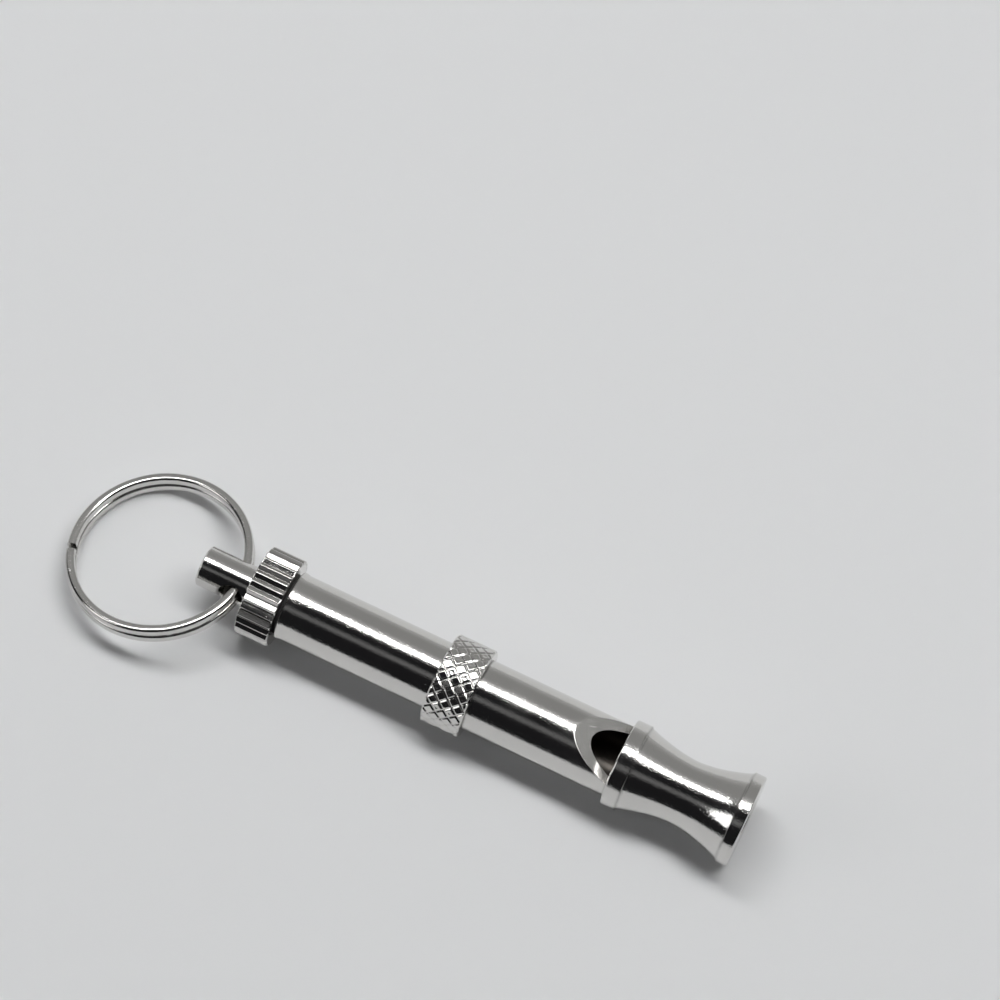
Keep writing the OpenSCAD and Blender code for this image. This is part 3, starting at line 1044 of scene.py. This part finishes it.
def wire_section():
    """Rounded rectangle of the wire as (outwards, upwards) points."""
    for side_w, side_t, start in ((1, 1, 0), (-1, 1, 90), (-1, -1, 180), (1, -1, 270)):
        for i in range(WIRE_CORNER_STEPS + 1):
            a = math.radians(start + 90 * i / WIRE_CORNER_STEPS)
            yield (side_w * (WIRE_W / 2 - WIRE_CORNER) + WIRE_CORNER * math.cos(a),
                   side_t * (WIRE_T / 2 - WIRE_CORNER) + WIRE_CORNER * math.sin(a))


def coil_height(angle):
    """Height of the wire's middle: low, then a smooth step up, then high."""
    u = max(0, min(1, (angle - STEP_FROM - 360) / (STEP_TO - STEP_FROM)))
    return TURN_PITCH * (u * u * (3 - 2 * u) - 0.5)


def even(first, last, step):
    """Angles from the first up to the last, which is left out, in steps of about the given size."""
    count = round((last - first) / step)
    return [first + (last - first) * i / count for i in range(count)]


def coil():
    """Mesh of the wire about Z: almost a turn below, the step up, and almost a turn above."""
    climb_from = STEP_FROM + 360
    climb_to = STEP_TO + 360
    end = STEP_FROM + 720 - END_GAP
    angles = even(STEP_TO + END_GAP, climb_from, COIL_STEP)
    angles += even(climb_from, climb_to, CLIMB_STEP)
    angles += [*even(climb_to, end, COIL_STEP), end]
    section = list(wire_section())
    mesh = bmesh.new()
    loops = []
    for angle in angles:
        turn = math.radians(angle)
        loops.append([mesh.verts.new(((ring_mid_r + out) * math.cos(turn) * MM,
                                      (ring_mid_r + out) * math.sin(turn) * MM,
                                      (coil_height(angle) + up) * MM)) for out, up in section])
    for one, two in zip(loops, loops[1:]):
        for i in range(len(section)):
            mesh.faces.new((one[i - 1], one[i], two[i], two[i - 1]))
    mesh.faces.new(loops[0])
    mesh.faces.new(loops[-1])
    bmesh.ops.recalc_face_normals(mesh, faces=mesh.faces)
    return mesh


ring_mesh = coil()
print("the coil has", len(ring_mesh.faces), "faces")

# %% Ring in its hole
RING_SEAT = 0.5
RING_LEAN = math.radians(3)
RING_DROOP = math.radians(10.995)
ROLLED_LINES = (0.2, 0.2, 1)
SEAM_HALF = 0.2
# How far the painted shade of the notch reaches, and how dark the dirt and painted shade of the seam make
# the wire.
NOTCH_SHADE_REACH = 0.9
RING_DIRT_AND_SHADE = 1.5
ring_place = (
    hinge_frame
    @ Matrix.Rotation(-RING_DROOP, 4, "Y")
    @ Matrix.Rotation(RING_LEAN, 4, "Z")
    @ Matrix.Translation(((RING_SEAT - ring_mid_r) * MM, 0, 0))
)
ring_up = ring_place.col[2].xyz
ring_level = ring_up.dot(ring_place.translation) / MM
notch_turn = math.radians(STEP_FROM)
notch = ring_place @ (Vector((math.cos(notch_turn), math.sin(notch_turn), 0)) * ring_mid_r * MM)


def between_turns(place):
    """Dirt and painted shade in the seam between the two turns; in the notch the painted shade fills more of
    the height.
    """
    height = place.node("VectorMath", {"operation": "DOT_PRODUCT"}, {0: place, 1: ring_up}, "Value")
    from_notch = place.node("VectorMath", {"operation": "DISTANCE"}, {0: place, 1: notch / MM}, "Value")
    seam = SEAM_HALF + (NOTCH_SHADE_REACH - from_notch).held()
    return (1 - abs(height - ring_level) / seam).held() * (place.noise(waves=0.8) * RING_DIRT_AND_SHADE)


ring_steel = plated("ring_steel", "ring_steel", ROLLED_LINES, between_turns, gloss=0.11)
ring_mesh.transform(ring_place)
dressed(solid(ring_mesh, "ring"), "split_ring", ring_steel)

# %% [markdown]
# Pale floor
#
# The whistle lies on a plain pale floor, which takes its shadow. Far from the whistle the lamps no longer
# reach, and the floor would grow dark there. A larger lamp would spoil the reflections, so the far floor
# glows with the tone that it has near the lamps, for the eye and for reflections only.

# %% Pale floor
FLOOR_SIZE = 6.0
FLOOR_TONE = (0.66, 0.665, 0.67, 1)
FLOOR_DULL = 0.7
FLOOR_LIT_TONE = (0.68, 0.69, 0.695, 1)
FLOOR_LIT_R = 0.2
FLOOR_FADE = 0.35


def sheet(name, width, depth):
    """Flat rectangle for the floor and the lamps."""
    mesh = bmesh.new()
    corners = ((-1, -1), (1, -1), (1, 1), (-1, 1))
    mesh.faces.new([mesh.verts.new((x * width / 2, y * depth / 2, 0)) for x, y in corners])
    made = solid(mesh, name)
    return made


floor_finish, floor_place, floor_shader = new_finish("pale_floor")
floor_shader.inputs["Base Color"].default_value = FLOOR_TONE
floor_shader.inputs["Roughness"].default_value = FLOOR_DULL
from_middle = floor_place.node("VectorMath", {"operation": "LENGTH"}, {0: floor_place}, "Value")
far_off = ((from_middle - FLOOR_LIT_R / MM) / (FLOOR_FADE / MM)).held()
ray = far_off.node("LightPath", output="Is Camera Ray")
seen = (ray + ray.other("Is Glossy Ray") + ray.other("Is Transmission Ray")).held()
near_floor = Field(floor_finish.node_tree, floor_shader.outputs[0])
far_floor = ray.node("Emission", None, {"Color": FLOOR_LIT_TONE})
whole_floor = ray.node("MixShader", None, {0: far_off * seen, 1: near_floor, 2: far_floor})
link(whole_floor, floor_finish.node_tree.nodes["Material Output"], "Surface")
# The glow is only looked at, so it isn't sampled as a lamp.
floor_finish.cycles.emission_sampling = "NONE"
floor = sheet("floor", FLOOR_SIZE, FLOOR_SIZE)
floor.location.z = cad_box[0].z
floor.data.materials.append(floor_finish)
print("floor at", round(floor.location.z / MM, 3), "mm")

# %% [markdown]
# Light
#
# Polished metal shows its surroundings, so the light is built for its reflection first. A long soft box
# hangs over the whistle and leans to the far side: it draws the bright line along each tube, and because it
# fades at its edges the line has soft sides. The far side of the room is a dim grey that grows paler towards
# the horizon, and the near side is dark, which gives the calm grey and the deep black on either side of the
# line. An area light would have hard edges and hide the room behind it. So each lamp is a clear sheet that
# only adds its glow. A dim strip on the near side draws the faint second line, and a small lamp beside the
# tail lights the ribs of the nut and the side of the ring. The soft box also lights the pale floor, with the
# strength at which a grey renders about as it is written.

# %% Soft lamps
END_FADE = 6
whistle_middle = Vector(((x_stem_end + x_mouth) / 2 * MM, 0, 0))


def soft_lamp(name, turn, distance, length, reach, peak, glow):
    """Glowing sheet along X, turned about the whistle from the far side upwards.

    Both reach and the argument of glow are places across the sheet, in shares of its distance, and the
    argument grows towards the far side. What glow returns is a share of the peak.
    """
    finish, place, _ = new_finish(name)
    along = place.node("SeparateXYZ", None, {0: place})
    across = along.other("Y") / (distance / MM)
    ends = ((1 - abs(along) / (length / 2 / MM)) * END_FADE).held()
    clear = across.node("BsdfTransparent")
    brightest = across.node("Emission", None, {"Strength": peak})
    clear_and_bright = across.node("AddShader", None, {0: brightest, 1: clear})
    surface = across.node("MixShader", None, {0: glow(across) * ends, 1: clear, 2: clear_and_bright})
    link(surface, finish.node_tree.nodes["Material Output"], "Surface")
    lamp = sheet(name, length, 2 * reach * distance)
    lamp.data.materials.append(finish)
    lamp.location = whistle_middle + Vector((0, math.cos(turn), math.sin(turn))) * distance
    lamp.rotation_euler.x = turn - math.pi / 2
    lamp.visible_camera = False
    print(name, "hangs at", [round(part, 3) for part in lamp.location])


print("lamps hang about", [round(part, 3) for part in whistle_middle])

# %% Soft box over the far side
BOX_TURN = math.radians(76.2)
BOX_DISTANCE = 0.75
BOX_LENGTH = 1.1
BOX_REACH = 0.45
BOX_EDGE = 0.11
BOX_EDGE_SOFT = 0.04
BOX_NEAR_FADE = 0.04
BOX_FAR_FADE = 0.08
BOX_CORE = 8.0
BOX_PEAK = BOX_CORE + math.exp(BOX_EDGE / BOX_NEAR_FADE)


def box_glow(across):
    """Brightest between the edges, and a glow outside them that falls away more slowly on the far side."""
    inside = BOX_EDGE - abs(across)
    core = (inside / BOX_EDGE_SOFT).held() * BOX_CORE
    far_half = across.maths("GREATER_THAN", across, 0)
    fade = BOX_NEAR_FADE + far_half * (BOX_FAR_FADE - BOX_NEAR_FADE)
    return (core + across.maths("EXPONENT", inside / fade)) / BOX_PEAK


soft_lamp("soft_box", BOX_TURN, BOX_DISTANCE, BOX_LENGTH, BOX_REACH, BOX_PEAK, box_glow)

# %% Dim strip on the near side
STRIP_TURN = math.radians(121)
STRIP_DISTANCE = 0.9
STRIP_LENGTH = 1.8
STRIP_REACH = 0.22
STRIP_PEAK = 0.14


def strip_glow(across):
    """Brightest along the middle, and nothing at both edges."""
    share = across / STRIP_REACH
    fade = (1 - share * share).held()
    return fade * fade


soft_lamp("near_strip", STRIP_TURN, STRIP_DISTANCE, STRIP_LENGTH, STRIP_REACH, STRIP_PEAK, strip_glow)

# %% Small lamp beside the tail
SIDE_DIRECTION = Vector((-0.70, -0.46, 0.54)).normalized()
SIDE_DISTANCE = 0.8
SIDE_SIZE = 0.4
SIDE_GLOW = 2.0
side_light = bpy.data.lights.new("side_lamp", "AREA")
side_light.shape = "DISK"
side_light.size = SIDE_SIZE
# The power of a disc is pi times its glow times its area.
side_light.energy = math.pi * SIDE_GLOW * math.pi * (SIDE_SIZE / 2) ** 2
side_lamp = bpy.data.objects.new("side_lamp", side_light)
side_lamp.location = whistle_middle + SIDE_DIRECTION * SIDE_DISTANCE
side_lamp.rotation_euler = SIDE_DIRECTION.to_track_quat("Z", "Y").to_euler()
bpy.context.collection.objects.link(side_lamp)
print("side_lamp gives", round(side_light.energy, 2), "W")

# %% The room
FAR_WALL = (0.29, 0.29, 0.287, 1)
HORIZON = (0.48, 0.48, 0.475, 1)
NEAR_WALL = (0.012, 0.012, 0.013, 1)
FAR_WALL_FROM = 0.09
FAR_WALL_RISE = 3.5
HORIZON_FALL = 2.2
room = bpy.data.worlds.new("room")
room.use_nodes = True
bpy.context.scene.world = room
outward = Field(room.node_tree).node("TexCoord", output="Generated")
toward = outward.node("SeparateXYZ", None, {0: outward})
far_side = ((toward.other("Y") - FAR_WALL_FROM) * FAR_WALL_RISE).held()
low_down = (1 - toward.other("Z") * HORIZON_FALL).held()
far_tone = (low_down * low_down).tint(FAR_WALL, HORIZON)
link(far_side.tint(NEAR_WALL, far_tone), room.node_tree.nodes["Background"], "Color")
print("room made with", len(room.node_tree.nodes), "nodes")

# %% [markdown]
# Camera
#
# The photograph was taken with a long lens from above the near side. The camera could be turned by three
# angles, but a place to aim at says more. So it has a place, an aim on the level of the axis, a roll and a
# lens, which were all found by matching the ends, rims and ring of the whistle.

# %% Camera
CAMERA_PLACE = Vector((16.9, -189.4, 522.4)) * MM
CAMERA_AIM = Vector((-48.83, 26.63, 0)) * MM
CAMERA_ROLL = math.radians(9.49)
CAMERA_LENS = 151.6
CAMERA_NEAR = 0.01
level_view = (CAMERA_AIM - CAMERA_PLACE).to_track_quat("-Z", "Y").to_matrix().to_4x4()
camera = bpy.data.objects.new("camera", bpy.data.cameras.new("camera"))
bpy.context.collection.objects.link(camera)
camera.data.lens = CAMERA_LENS
camera.data.clip_start = CAMERA_NEAR
camera.matrix_world = Matrix.Translation(CAMERA_PLACE) @ level_view @ Matrix.Rotation(CAMERA_ROLL, 4, "Z")
bpy.context.scene.camera = camera
bpy.context.scene.view_settings.view_transform = "Standard"
print("camera stands", round((CAMERA_AIM - CAMERA_PLACE).length, 3), "m from what it aims at")
